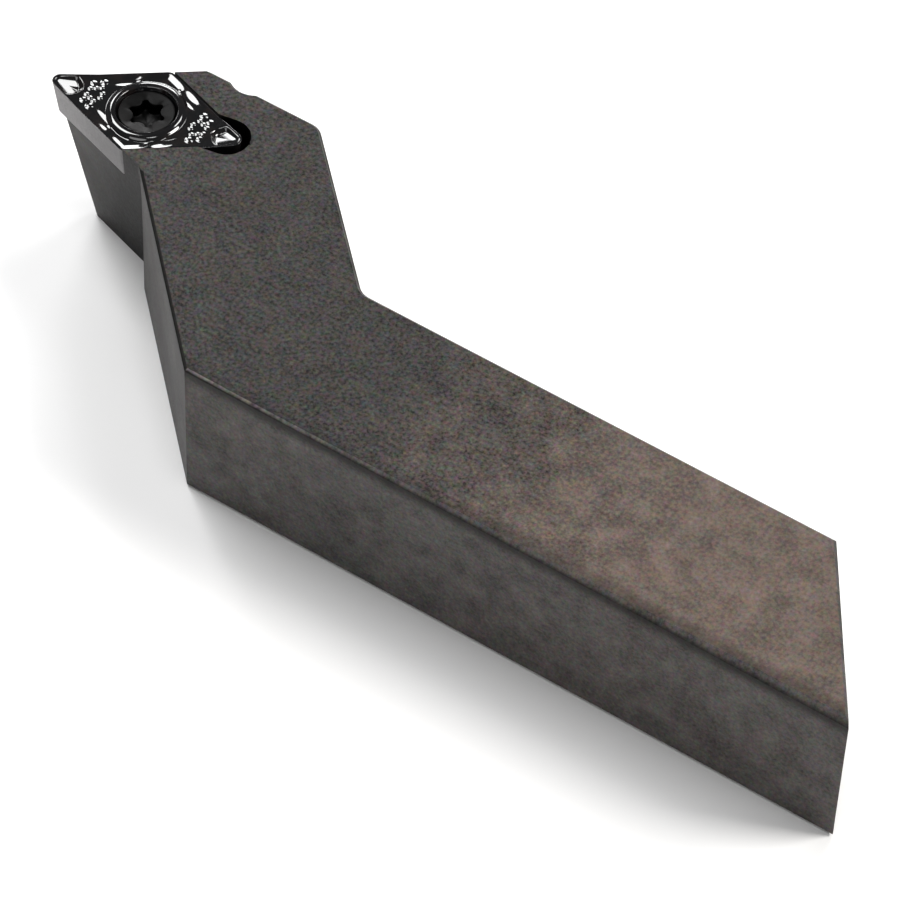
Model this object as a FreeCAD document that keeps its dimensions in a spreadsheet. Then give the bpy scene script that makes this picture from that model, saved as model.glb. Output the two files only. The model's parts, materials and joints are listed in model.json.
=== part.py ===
import FreeCAD, Part

import os
import re

import Sketcher

# Bent turning tool, 16 mm square shank, head cranked 45 degrees, clamped 55 degree insert.
# +X runs along the shank to its rear end, +Y to the side the head bends to, +Z up.
# The origin lies on the shank's bottom face, on its centre line.

SIZES = {
    # Shank
    "shank_height": 16.0,
    "shank_width": 16.0,
    "rear_reach": 38.5,
    "rear_skew": 33.7,
    "edge_chamfer": 0.27,
    "near_bevel_front": 0.2,
    "near_bevel_rear": 0.65,
    # Head
    "bend_reach": 28.0,
    "bend_angle": 45.0,
    "head_side_length": 23.87,
    "head_width": 16.7,
    "head_end_offset": 22.2,
    "inner_bend_round": 1.8,
    "end_round": 2.0,
    "flute_reach": 42.9,
    "flute_round": 2.4,
    "flute_depth": 0.45,
    # Relieved front of the head
    "edge_lead": 17.5,
    "wall_past_insert": 2.8,
    "relief_angle": 6.0,
    "front_setback": 0.08,
    "far_setback": 0.28,
    "runout_round": 1.3,
    "runout_inset": 0.55,
    "pillar_round": 0.8,
    # Insert
    "insert_edge": 11.6,
    "point_angle": 55.0,
    "insert_thickness": 3.97,
    "flank_angle": 7.0,
    "nose_round": 0.8,
    "insert_hole": 4.4,
    "countersink": 5.7,
    "countersink_slope": 30.0,
    "land_width": 0.3,
    "groove_slope_width": 0.5,
    "groove_depth": 0.2,
    "ring_diameter": 6.86,
    "ring_slope_width": 0.2,
    # Seat of the insert
    "seat_clearance": 0.03,
    "relief_slot_width": 4.4,
    "relief_slot_inset": 2.34,
    "relief_slot_run": 3.2,
    "relief_slot_extra": 0.3,
    # Clamping screw and its thread
    "screw_diameter": 4.0,
    "thread_clearance": 0.02,
    "head_recess": 0.35,
    "head_clearance": 0.035,
    "head_rim": 0.12,
    "screw_length": 10.0,
    "screw_point": 0.4,
    "socket_width": 3.35,
    "socket_waist": 2.4,
    "socket_lobe_round": 0.267,
    "socket_depth": 1.5,
}

doc = FreeCAD.newDocument("bent_turning_tool")
sheet = doc.addObject("Spreadsheet::Sheet", "sizes")
for row, (alias, size) in enumerate(SIZES.items(), start=1):
    sheet.set(f"A{row}", alias)
    sheet.set(f"B{row}", str(size))
    sheet.setAlias(f"B{row}", alias)
doc.recompute()


def sized(formula):
    """Put the sheet's name before each alias in a formula."""
    return re.sub("[a-z_]+", lambda word: f"sizes.{word[0]}" if word[0] in SIZES else word[0], formula)


def value_of(formula):
    """Value of a formula of the sheet's aliases."""
    result = sheet.evalExpression(sized(formula))
    return float(getattr(result, "Value", result))


# Where the head's near side ends, the sharp nose, and the insert's centre, in plan
HALF_POINT = "(point_angle / 2)"
SIDE_END_X = "(- bend_reach - head_side_length * cos(bend_angle))"
SIDE_END_Y = "(head_side_length * sin(bend_angle) - shank_width / 2)"
EDGE_LINE = "(insert_edge + wall_past_insert)"
NOSE_X = f"({SIDE_END_X} - {EDGE_LINE} * cos(edge_lead))"
NOSE_Y = f"({SIDE_END_Y} + {EDGE_LINE} * sin(edge_lead))"
FAR_EDGE_ANGLE = "(point_angle - edge_lead)"
AXIS_ANGLE = f"({HALF_POINT} - edge_lead)"
HALF_LENGTH = f"(insert_edge * cos{HALF_POINT})"
HALF_WIDTH = f"(insert_edge * sin{HALF_POINT})"
CENTRE_X = f"({NOSE_X} + {HALF_LENGTH} * cos{AXIS_ANGLE})"
CENTRE_Y = f"({NOSE_Y} + {HALF_LENGTH} * sin{AXIS_ANGLE})"
# Past the outline on every side that a cut leaves open
CLEAR = "3"


def bind(thing, prop, formula):
    """Bind a property to a formula of the sheet's aliases."""
    thing.setExpression(prop, sized(formula))


def new_body(name):
    """Add a body whose label is its node name."""
    body = doc.addObject("PartDesign::Body", name)
    body.Label = name
    return body


def new_sketch(body, name, role, at=None):
    """Add a sketch on an origin plane of its body, moved to (x, y, z, turn) if that is given."""
    sketch = body.newObject("Sketcher::SketchObject", name)
    plane = [feature for feature in body.Origin.OriginFeatures if feature.Role == role][0]
    sketch.AttachmentSupport = (plane, [""])
    sketch.MapMode = "FlatFace"
    if at:
        offset = FreeCAD.Rotation(FreeCAD.Vector(0, 0, 1), 1)
        sketch.AttachmentOffset = FreeCAD.Placement(FreeCAD.Vector(0, 0, 0), offset)
        for prop, formula in zip(("Base.x", "Base.y", "Base.z", "Rotation.Angle"), at):
            bind(sketch, f"AttachmentOffset.{prop}", formula)
    return sketch


def hold(sketch, kind, line, end, formula):
    """Hold one coordinate of a line's end, or of an arc's centre, at a formula."""
    constraint = Sketcher.Constraint(kind, -1, 1, line, end, value_of(formula))
    index = sketch.addConstraint(constraint)
    bind(sketch, f"Constraints[{index}]", formula)


def fix_point(sketch, line, end, corner):
    """Hold a point of a line at its formulas for x and y."""
    hold(sketch, "DistanceX", line, end, corner[0])
    hold(sketch, "DistanceY", line, end, corner[1])


def draw_outline(sketch, corners, bulges=None):
    """Draw a closed outline through corners given as formulas.

    A bulge is the centre of a left-hand arc that takes the place of the side after its corner.
    """
    bulges = bulges or {}
    points = [FreeCAD.Vector(value_of(x), value_of(y), 0) for x, y in corners]
    for number, start in enumerate(points):
        stop = points[(number + 1) % len(points)]
        if number in bulges:
            centre = FreeCAD.Vector(*[value_of(formula) for formula in bulges[number]], 0)
            circle = Part.Circle(centre, FreeCAD.Vector(0, 0, 1), start.distanceToPoint(centre))
            first = circle.parameter(start)
            last = circle.parameter(stop)
            sketch.addGeometry(Part.ArcOfCircle(circle, first, last), False)
        else:
            sketch.addGeometry(Part.LineSegment(start, stop), False)
    for number in range(len(points)):
        after = (number + 1) % len(points)
        sketch.addConstraint(Sketcher.Constraint("Coincident", number, 2, after, 1))
    for number, corner in enumerate(corners):
        fix_point(sketch, number, 1, corner)
    for number, centre in bulges.items():
        chord = points[(number + 1) % len(points)] - points[number]
        upright = abs(chord.y) > abs(chord.x)
        kind, formula = ("DistanceX", centre[0]) if upright else ("DistanceY", centre[1])
        hold(sketch, kind, number, 3, formula)


def draw_circle(sketch, centre, radius):
    """Draw a circle from formulas for its centre and radius."""
    middle = FreeCAD.Vector(value_of(centre[0]), value_of(centre[1]), 0)
    circle = Part.Circle(middle, FreeCAD.Vector(0, 0, 1), value_of(radius))
    line = sketch.addGeometry(circle, False)
    index = sketch.addConstraint(Sketcher.Constraint("Radius", line, value_of(radius)))
    bind(sketch, f"Constraints[{index}]", radius)
    fix_point(sketch, line, 3, centre)


def cut(body, name, sketch, depth, tilt=None, taper=None):
    """Cut a sketch into its body, straight down or along a tilted line, and check that it cut."""
    before = body.Shape.Volume
    pocket = body.newObject("PartDesign::Pocket", name)
    pocket.Profile = sketch
    bind(pocket, "Length", depth)
    if tilt:
        pocket.UseCustomVector = True
        for axis, formula in zip("xyz", tilt):
            bind(pocket, f"Direction.{axis}", formula)
    if taper:
        bind(pocket, "TaperAngle", taper)
    doc.recompute()
    if not body.Shape.Volume < before:
        raise ValueError(f"{name} cut nothing")
    return pocket


def edges_where(shape, test):
    """Names of a shape's edges that pass a test."""
    return [f"Edge{number}" for number, edge in enumerate(shape.Edges, start=1) if test(edge)]


def edge_finish(body, kind, name, test, size):
    """Round or bevel the edges of a body that pass a test."""
    base = body.Tip
    names = edges_where(base.Shape, test)
    if not names:
        raise ValueError(f"{name} found no edge")
    feature = body.newObject(f"PartDesign::{kind}", name)
    feature.Base = (base, names)
    bind(feature, "Radius" if kind == "Fillet" else "Size", size)
    doc.recompute()
    return feature


def passes(edge, x, y):
    """Whether an edge rises through a point of the plan from bottom to top."""
    low, high = sorted((vertex.Point for vertex in edge.Vertexes), key=lambda point: point.z)
    reach = FreeCAD.Vector(x, y, high.z).distanceToPoint(high)
    return reach < 1e-3 and high.z - low.z > value_of("shank_height") / 2


# Steel body: the outline in plan, raised to the shank's height
tool = new_body("tool_body")
outline = new_sketch(tool, "outline", "XY_Plane")
BEND_GAP = "(head_width / sin(bend_angle) - shank_width / tan(bend_angle))"
INNER_BEND_X = f"({BEND_GAP} - bend_reach)"
HEAD_RISE = "(head_end_offset - shank_width / 2)"
HEAD_END_X = f"({INNER_BEND_X} - {HEAD_RISE} / tan(bend_angle))"
FAR_END_X = f"({NOSE_X} + (head_end_offset - {NOSE_Y}) / tan{FAR_EDGE_ANGLE})"
draw_outline(
    outline,
    [
        ("- bend_reach", "- shank_width / 2"),
        ("rear_reach", "- shank_width / 2"),
        ("rear_reach - shank_width * tan(rear_skew)", "shank_width / 2"),
        (INNER_BEND_X, "shank_width / 2"),
        (HEAD_END_X, "head_end_offset"),
        (FAR_END_X, "head_end_offset"),
        (NOSE_X, NOSE_Y),
        (SIDE_END_X, SIDE_END_Y),
    ],
)
blank = tool.newObject("PartDesign::Pad", "blank")
blank.Profile = outline
bind(blank, "Length", "shank_height")
doc.recompute()

edge_finish(
    tool,
    "Fillet",
    "inner_bend",
    lambda edge: passes(edge, value_of(INNER_BEND_X), value_of("shank_width / 2")),
    "inner_bend_round",
)
edge_finish(
    tool,
    "Fillet",
    "head_corner",
    lambda edge: passes(edge, value_of(HEAD_END_X), value_of("head_end_offset")),
    "end_round",
)

# Shallow flute in the head's end face
flute = new_sketch(tool, "flute", "XY_Plane", ("0", "0", "shank_height", "0"))
draw_circle(flute, ("- flute_reach", "head_end_offset + flute_round - flute_depth"), "flute_round")
cut(tool, "end_flute", flute, f"shank_height + {CLEAR}")

# Bevels along the top and bottom of the sides that stay as they are
def is_bevelled(edge):
    """Whether an edge runs round the top or bottom, behind the relieved front."""
    levels = [vertex.Point.z for vertex in edge.Vertexes]
    height = value_of("shank_height")
    if max(levels) - min(levels) > 1e-3 or 1e-3 < levels[0] < height - 1e-3:
        return False
    middle = edge.valueAt((edge.FirstParameter + edge.LastParameter) / 2)
    front = (middle.x - value_of(NOSE_X)) * value_of("sin(edge_lead)")
    front += (middle.y - value_of(NOSE_Y)) * value_of("cos(edge_lead)")
    far = (middle.y - value_of(NOSE_Y)) * value_of(f"cos{FAR_EDGE_ANGLE}")
    far -= (middle.x - value_of(NOSE_X)) * value_of(f"sin{FAR_EDGE_ANGLE}")
    return abs(front) > 1e-3 and abs(far) > 1e-3


edge_finish(tool, "Chamfer", "bevels", is_bevelled, "edge_chamfer")

# The bevel along the shank's near top edge widens towards the rear
OUTSIDE = f"(- shank_width / 2 - {CLEAR})"
ABOVE = f"(shank_height + {CLEAR})"
BEVEL_RUN = f"(rear_reach + {CLEAR} + bend_reach)"
WIDENING = f"((near_bevel_rear - near_bevel_front) / 2 / {BEVEL_RUN})"
rear_corner = new_sketch(tool, "rear_corner", "YZ_Plane", ("0", "0", f"rear_reach + {CLEAR}", "0"))
draw_outline(
    rear_corner,
    [
        (OUTSIDE, f"{ABOVE} - near_bevel_rear - 2 * {CLEAR}"),
        (f"{OUTSIDE} + near_bevel_rear + 2 * {CLEAR}", ABOVE),
        (OUTSIDE, ABOVE),
    ],
)
cut(tool, "widening_bevel", rear_corner, BEVEL_RUN, ("- 1", f"- {WIDENING}", WIDENING))

# Relieved front: a cutter leaning with the relief runs along the main edge and stops past the insert
front = new_sketch(tool, "front_path", "XY_Plane", (NOSE_X, NOSE_Y, "shank_height", "- edge_lead"))
RUNOUT_X = f"({EDGE_LINE} - runout_inset)"
draw_outline(
    front,
    [
        (f"- {CLEAR}", "front_setback"),
        (f"- {CLEAR}", "front_setback - 2 * runout_round"),
        (RUNOUT_X, "front_setback - 2 * runout_round"),
        (RUNOUT_X, "front_setback"),
    ],
    {2: (RUNOUT_X, "front_setback - runout_round")},
)
cut(
    tool,
    "front_relief",
    front,
    f"shank_height + {CLEAR}",
    ("sin(edge_lead) * tan(relief_angle)", "cos(edge_lead) * tan(relief_angle)", "- 1"),
)

# Relieved far side, under the insert's second edge
far_side = new_sketch(tool, "far_path", "XY_Plane", (NOSE_X, NOSE_Y, "shank_height", FAR_EDGE_ANGLE))
draw_outline(
    far_side,
    [
        (f"- {CLEAR}", "- far_setback"),
        (f"insert_edge + 3 * {CLEAR}", "- far_setback"),
        (f"insert_edge + 3 * {CLEAR}", CLEAR),
        (f"- {CLEAR}", CLEAR),
    ],
)
cut(
    tool,
    "far_relief",
    far_side,
    f"shank_height + {CLEAR}",
    (
        f"sin{FAR_EDGE_ANGLE} * tan(relief_angle)",
        f"- cos{FAR_EDGE_ANGLE} * tan(relief_angle)",
        "- 1",
    ),
)


def is_pillar(edge):
    """Whether an edge is the sloping one under the nose."""
    low, high = sorted((vertex.Point for vertex in edge.Vertexes), key=lambda point: point.z)
    nose = FreeCAD.Vector(value_of(NOSE_X), value_of(NOSE_Y), high.z)
    return high.z - low.z > value_of("shank_height") / 2 and nose.distanceToPoint(high) < 1.5


edge_finish(tool, "Fillet", "pillar", is_pillar, "pillar_round")

# Seat of the insert: two leaning walls and a flat floor, open to the front and the far side
SEAT_PLANE = (CENTRE_X, CENTRE_Y, "shank_height", AXIS_ANGLE)
seat_outline = new_sketch(tool, "seat_outline", "XY_Plane", SEAT_PLANE)
SEAT_LENGTH = f"({HALF_LENGTH} + seat_clearance / sin{HALF_POINT})"
SIDE_REACH = f"({HALF_WIDTH} + {CLEAR})"
SIDE_BACK = f"({SEAT_LENGTH} - {SIDE_REACH} / tan{HALF_POINT})"
draw_outline(
    seat_outline,
    [
        (SEAT_LENGTH, "0"),
        (SIDE_BACK, SIDE_REACH),
        (f"- {HALF_LENGTH} - {CLEAR}", SIDE_REACH),
        (f"- {HALF_LENGTH} - {CLEAR}", f"- {SIDE_REACH}"),
        (SIDE_BACK, f"- {SIDE_REACH}"),
    ],
)
cut(tool, "seat", seat_outline, "insert_thickness", taper="- flank_angle")

# Slot that clears the insert's rear corner
relief = new_sketch(tool, "relief_slot", "XY_Plane", SEAT_PLANE)
OUTER_X = f"({HALF_LENGTH} - relief_slot_inset)"
INNER_X = f"({OUTER_X} - relief_slot_run)"
draw_outline(
    relief,
    [
        (INNER_X, "- relief_slot_width / 2"),
        (OUTER_X, "- relief_slot_width / 2"),
        (OUTER_X, "relief_slot_width / 2"),
        (INNER_X, "relief_slot_width / 2"),
    ],
    {1: (OUTER_X, "0"), 3: (INNER_X, "0")},
)
cut(tool, "corner_relief", relief, "insert_thickness + relief_slot_extra")

thread = new_sketch(tool, "thread_circle", "XY_Plane", SEAT_PLANE)
draw_circle(thread, ("0", "0"), "screw_diameter / 2 + thread_clearance")
cut(tool, "threaded_hole", thread, f"shank_height + {CLEAR}")


def place_on_seat(body):
    """Move a body to the insert's centre, level with the shank's top, turned to the nose."""
    body.Placement = FreeCAD.Placement(FreeCAD.Vector(), FreeCAD.Rotation(FreeCAD.Vector(0, 0, 1), 1))
    for prop, formula in zip(("Base.x", "Base.y", "Base.z", "Rotation.Angle"), SEAT_PLANE):
        bind(body, f"Placement.{prop}", formula)


def draw_rhombus(sketch, inset, round_formula):
    """Draw the insert's outline, moved inwards and with its corners rounded."""
    length = f"({HALF_LENGTH} - {inset} / sin{HALF_POINT})"
    width = f"({HALF_WIDTH} - {inset} / cos{HALF_POINT})"
    sharp = f"({round_formula} / tan{HALF_POINT})"
    blunt = f"({round_formula} * tan{HALF_POINT})"
    tip_x = f"({length} - {sharp} * cos{HALF_POINT})"
    tip_y = f"({sharp} * sin{HALF_POINT})"
    side_x = f"({blunt} * cos{HALF_POINT})"
    side_y = f"({width} - {blunt} * sin{HALF_POINT})"
    tip_centre = f"({length} - {round_formula} / sin{HALF_POINT})"
    side_centre = f"({width} - {round_formula} / cos{HALF_POINT})"
    draw_outline(
        sketch,
        [
            (tip_x, f"- {tip_y}"),
            (tip_x, tip_y),
            (side_x, side_y),
            (f"- {side_x}", side_y),
            (f"- {tip_x}", tip_y),
            (f"- {tip_x}", f"- {tip_y}"),
            (f"- {side_x}", f"- {side_y}"),
            (side_x, f"- {side_y}"),
        ],
        {
            0: (tip_centre, "0"),
            2: ("0", side_centre),
            4: (f"- {tip_centre}", "0"),
            6: ("0", f"- {side_centre}"),
        },
    )


# Carbide insert, drawn round its own centre, top face at zero
insert = new_body("insert")
top_outline = new_sketch(insert, "top_outline", "XY_Plane")
draw_rhombus(top_outline, "0", "nose_round")
FLANK_INSET = "(insert_thickness * tan(flank_angle))"
bottom_outline = new_sketch(insert, "bottom_outline", "XY_Plane", ("0", "0", "- insert_thickness", "0"))
draw_rhombus(bottom_outline, FLANK_INSET, f"(nose_round - {FLANK_INSET})")
plate = insert.newObject("PartDesign::AdditiveLoft", "plate")
plate.Profile = top_outline
plate.Sections = [bottom_outline]
plate.Ruled = True
doc.recompute()

# Chip groove inside a narrow land, then the ring round the hole
groove_top = new_sketch(insert, "groove_top", "XY_Plane")
draw_rhombus(groove_top, "land_width", "(nose_round - land_width)")
groove_floor = new_sketch(insert, "groove_floor", "XY_Plane", ("0", "0", "- groove_depth", "0"))
GROOVE_INSET = "(land_width + groove_slope_width)"
draw_rhombus(groove_floor, GROOVE_INSET, "(nose_round - land_width)")
groove = insert.newObject("PartDesign::SubtractiveLoft", "chip_groove")
groove.Profile = groove_top
groove.Sections = [groove_floor]
groove.Ruled = True
doc.recompute()


def revolve(body, name, kind, profile):
    """Turn a profile of (radius, height) formulas round the body's upright axis."""
    sketch = new_sketch(body, f"{name}_profile", "XZ_Plane")
    draw_outline(sketch, profile)
    feature = body.newObject(f"PartDesign::{kind}", name)
    feature.Profile = sketch
    feature.ReferenceAxis = (sketch, ["V_Axis"])
    feature.Angle = 360
    doc.recompute()
    return feature


SLOPE = "tan(countersink_slope)"
revolve(
    insert,
    "ring",
    "Revolution",
    [
        ("insert_hole / 4", "- 2 * groove_depth"),
        ("ring_diameter / 2 + ring_slope_width", "- 2 * groove_depth"),
        ("ring_diameter / 2 + ring_slope_width", "- groove_depth"),
        ("ring_diameter / 2", "0"),
        ("insert_hole / 4", "0"),
    ],
)
revolve(
    insert,
    "screw_hole",
    "Groove",
    [
        ("0", "- insert_thickness - 1"),
        ("insert_hole / 2", "- insert_thickness - 1"),
        ("insert_hole / 2", f"- (countersink - insert_hole) / 2 / {SLOPE}"),
        ("countersink / 2", "0"),
        ("countersink / 2", "1"),
        ("0", "1"),
    ],
)
place_on_seat(insert)

# Clamping screw: countersunk head just below the ring, six-lobe socket
screw = new_body("clamp_screw")
HEAD_RADIUS = f"(countersink / 2 - head_clearance - head_recess * {SLOPE})"
HEAD_FOOT = f"((countersink - screw_diameter) / 2 - head_clearance) / {SLOPE}"
revolve(
    screw,
    "shape",
    "Revolution",
    [
        ("0", "- head_recess"),
        ("0", "- screw_length"),
        ("screw_diameter / 2 - screw_point", "- screw_length"),
        ("screw_diameter / 2", "screw_point - screw_length"),
        ("screw_diameter / 2", f"- {HEAD_FOOT}"),
        (f"{HEAD_RADIUS} - head_rim * {SLOPE}", "- head_recess - head_rim"),
        (f"{HEAD_RADIUS} - head_rim", "- head_recess"),
    ],
)

# Socket: six outer arcs joined by six inner arcs that touch them
socket_outline = new_sketch(screw, "socket_outline", "XY_Plane", ("0", "0", "- head_recess", "0"))
lobe = value_of("socket_lobe_round")
lobe_reach = value_of("socket_width") / 2 - lobe
waist = value_of("socket_waist") / 2
cosine = value_of("cos(30)")
# Radius of the inner arcs, from the distance between the centres of two touching arcs
flank = (lobe**2 - lobe_reach**2 - waist**2 + 2 * lobe_reach * waist * cosine) / (
    2 * (waist - lobe - lobe_reach * cosine)
)
up = FreeCAD.Vector(0, 0, 1)
for step in range(6):
    turn = FreeCAD.Rotation(up, 60 * step)
    half_turn = FreeCAD.Rotation(up, 60 * step + 30)
    back_turn = FreeCAD.Rotation(up, 60 * step - 30)
    outer = turn.multVec(FreeCAD.Vector(lobe_reach, 0, 0))
    following = half_turn.multVec(FreeCAD.Vector(waist + flank, 0, 0))
    previous = back_turn.multVec(FreeCAD.Vector(waist + flank, 0, 0))
    next_outer = FreeCAD.Rotation(up, 60 * step + 60).multVec(FreeCAD.Vector(lobe_reach, 0, 0))
    start = outer + (previous - outer).normalize() * lobe
    stop = outer + (following - outer).normalize() * lobe
    after = next_outer + (following - next_outer).normalize() * lobe
    tip = turn.multVec(FreeCAD.Vector(lobe_reach + lobe, 0, 0))
    hollow = half_turn.multVec(FreeCAD.Vector(waist, 0, 0))
    socket_outline.addGeometry(Part.Arc(start, tip, stop), False)
    socket_outline.addGeometry(Part.Arc(stop, hollow, after), False)
cut(screw, "socket", socket_outline, "socket_depth")
place_on_seat(screw)
doc.recompute()

NODES = (tool, insert, screw)
for thing in doc.Objects:
    if "Invalid" in thing.State or "Error" in thing.State:
        raise ValueError(f"{thing.Label} failed: {thing.State}")
for node in NODES:
    if node.Shape.isNull() or not node.Shape.isValid() or len(node.Shape.Solids) != 1:
        raise ValueError(f"{node.Label} has no valid single solid")
os.makedirs("parts", exist_ok=True)
for node in NODES:
    node.Shape.exportStep(f"parts/{node.Label}.step")
    box = node.Shape.BoundBox
    print(f"{node.Label}: {node.Shape.Volume:.1f} mm3, {box.XMin:.2f} to {box.XMax:.2f}, "
          f"{box.YMin:.2f} to {box.YMax:.2f}, {box.ZMin:.2f} to {box.ZMax:.2f}")
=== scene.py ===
import json
import logging
from dataclasses import dataclass, field
from enum import Enum
from math import cos, pi, radians, sin, tan
from typing import Any, Optional, Union

import bpy
import numpy as np
from mathutils import Matrix, Vector

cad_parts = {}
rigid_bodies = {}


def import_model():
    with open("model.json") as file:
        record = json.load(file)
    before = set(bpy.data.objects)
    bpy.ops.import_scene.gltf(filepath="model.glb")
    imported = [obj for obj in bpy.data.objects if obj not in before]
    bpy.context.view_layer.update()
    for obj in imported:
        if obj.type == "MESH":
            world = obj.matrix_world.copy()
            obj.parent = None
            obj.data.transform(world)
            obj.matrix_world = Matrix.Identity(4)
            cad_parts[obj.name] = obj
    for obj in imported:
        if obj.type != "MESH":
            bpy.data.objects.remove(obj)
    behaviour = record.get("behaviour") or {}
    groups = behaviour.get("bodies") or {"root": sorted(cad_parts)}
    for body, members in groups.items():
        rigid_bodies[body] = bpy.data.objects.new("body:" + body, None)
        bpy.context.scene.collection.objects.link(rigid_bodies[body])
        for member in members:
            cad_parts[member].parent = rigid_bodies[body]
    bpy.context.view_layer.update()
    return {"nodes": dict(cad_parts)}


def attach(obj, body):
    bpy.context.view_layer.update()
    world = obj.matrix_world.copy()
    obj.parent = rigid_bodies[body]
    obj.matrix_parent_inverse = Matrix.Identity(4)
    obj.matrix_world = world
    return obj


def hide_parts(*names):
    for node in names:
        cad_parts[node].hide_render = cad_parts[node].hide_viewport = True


LOG = logging.getLogger("turning_tool")
MM = 0.001
Number = Union[float, "Signal"]


class Source(Enum):
    """Vectors that a finish reads at each point of a surface."""

    PLACE = ("ShaderNodeTexCoord", "Object")
    FACING = ("ShaderNodeNewGeometry", "True Normal")


@dataclass(frozen=True)
class Signal:
    """One output socket of a node, with the arithmetic that shader maths needs.

    Args:
        board: the node board that the socket belongs to.
        socket: the output socket.
    """

    board: "NodeBoard"
    socket: Any

    def _maths(self, operation: str, first: Number, second: Number = 0.0) -> "Signal":
        """Add a Math node.

        Args:
            operation: Blender's name for the operation.
            first: the first value.
            second: the second value.

        Returns:
            The node's result.
        """
        inputs = {0: first, 1: second}
        return self.board.signal("ShaderNodeMath", {"operation": operation}, inputs)

    def __add__(self, other: Number) -> "Signal":
        """Sum."""
        return self._maths("ADD", self, other)

    __radd__ = __add__

    def __sub__(self, other: Number) -> "Signal":
        """Difference."""
        return self._maths("SUBTRACT", self, other)

    def __rsub__(self, other: Number) -> "Signal":
        """Difference, the other way round."""
        return self._maths("SUBTRACT", other, self)

    def __mul__(self, other: Number) -> "Signal":
        """Product."""
        return self._maths("MULTIPLY", self, other)

    __rmul__ = __mul__

    def __truediv__(self, other: Number) -> "Signal":
        """Quotient."""
        return self._maths("DIVIDE", self, other)

    def __rtruediv__(self, other: Number) -> "Signal":
        """Quotient, the other way round."""
        return self._maths("DIVIDE", other, self)

    def __pow__(self, other: Number) -> "Signal":
        """Power."""
        return self._maths("POWER", self, other)

    def size(self) -> "Signal":
        """Value without its sign."""
        return self._maths("ABSOLUTE", self)

    def ease(self, low: float, high: float) -> "Signal":
        """Rise smoothly from 0 at one value to 1 at another.

        Args:
            low: value that gives 0.
            high: value that gives 1.

        Returns:
            The eased value, held between 0 and 1.
        """
        settings = {"interpolation_type": "SMOOTHSTEP"}
        inputs = {"Value": self, "From Min": low, "From Max": high}
        return self.board.signal("ShaderNodeMapRange", settings, inputs)


class NodeBoard:
    """Builds one material's nodes."""

    def __init__(self, name: str) -> None:
        """Start an empty material.

        Args:
            name: the material's name.
        """
        self.material = bpy.data.materials.new(name)
        self.material.use_nodes = True
        self.tree = self.material.node_tree
        self.tree.nodes.clear()

    def node(self, kind: str, settings: dict[str, Any], inputs: dict[Any, Any]) -> Any:
        """Add a node of any type.

        Args:
            kind: the node's type.
            settings: its properties, set before its sockets.
            inputs: value or signal of each socket, by name or number.

        Returns:
            The new node.
        """
        made = self.tree.nodes.new(kind)
        for name, value in settings.items():
            setattr(made, name, value)
        for key, value in inputs.items():
            if isinstance(value, Signal):
                self.tree.links.new(value.socket, made.inputs[key])
            else:
                made.inputs[key].default_value = value
        return made

    def signal(
        self, kind: str, settings: dict[str, Any], inputs: dict[Any, Any], output: Any = 0
    ) -> Signal:
        """Add a node and return one of its outputs.

        Args:
            kind: the node's type.
            settings: its properties.
            inputs: value or signal of each socket.
            output: the output's name or number.

        Returns:
            The output.
        """
        return Signal(self, self.node(kind, settings, inputs).outputs[output])

    def source(self, source: Source) -> Signal:
        """Vector of a source, places in metres."""
        kind, output = source.value
        return self.signal(kind, {}, {}, output)

    def place(self) -> Signal:
        """Place on the object in millimetres."""
        return self.stretched(self.source(Source.PLACE), (1 / MM,) * 3)

    def parts(self, vector: Signal) -> tuple[Signal, Signal, Signal]:
        """Three parts of a vector."""
        split = self.node("ShaderNodeSeparateXYZ", {}, {0: vector})
        return tuple(Signal(self, output) for output in split.outputs)

    def stretched(self, place: Signal, scale: tuple[float, float, float]) -> Signal:
        """Place with each axis multiplied by its own number."""
        settings = {"operation": "MULTIPLY"}
        return self.signal("ShaderNodeVectorMath", settings, {0: place, 1: scale})

    def shaded(self, colour: Signal, level: Signal) -> Signal:
        """Colour made brighter or darker by a number."""
        grey = self.signal("ShaderNodeCombineXYZ", {}, {0: level, 1: level, 2: level})
        return self.mix(1.0, colour, grey, "MULTIPLY")

    def noise(
        self, place: Signal, scale: float, detail: float = 2.0, rough: float = 0.5, output: str = "Fac"
    ) -> Signal:
        """Soft noise.

        Args:
            place: where it is read.
            scale: features per millimetre.
            detail: finer layers.
            rough: strength of the finer layers.
            output: "Fac" for a number or "Color" for three.

        Returns:
            The noise.
        """
        inputs = {"Vector": place, "Scale": scale, "Detail": detail, "Roughness": rough}
        return self.signal("ShaderNodeTexNoise", {}, inputs, output)

    def mix(self, share: Number, first: Any, second: Any, blend: str = "MIX") -> Signal:
        """Mix two colours.

        Args:
            share: share of the second.
            first: colour or signal.
            second: colour or signal.
            blend: Blender's name for the way they mix.

        Returns:
            The mixed colour.
        """
        settings = {"data_type": "RGBA", "blend_type": blend}
        return self.signal("ShaderNodeMix", settings, {0: share, 6: first, 7: second}, 2)

    def bump(self, height: Signal, depth: float, strength: float = 1.0) -> Signal:
        """Normal of a surface with a small relief.

        Args:
            height: the relief, 0 to 1.
            depth: its depth in millimetres.
            strength: share of the effect.

        Returns:
            The normal.
        """
        inputs = {"Strength": strength, "Distance": depth * MM, "Height": height}
        return self.signal("ShaderNodeBump", {}, inputs)

    def finish(self, shader: dict[Any, Any]) -> Any:
        """Close the material with a Principled shader.

        Args:
            shader: value or signal of each of its sockets.

        Returns:
            The material.
        """
        skin = self.signal("ShaderNodeBsdfPrincipled", {}, shader)
        self.node("ShaderNodeOutputMaterial", {}, {0: skin})
        return self.material


Colour = tuple[float, float, float, float]


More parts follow.
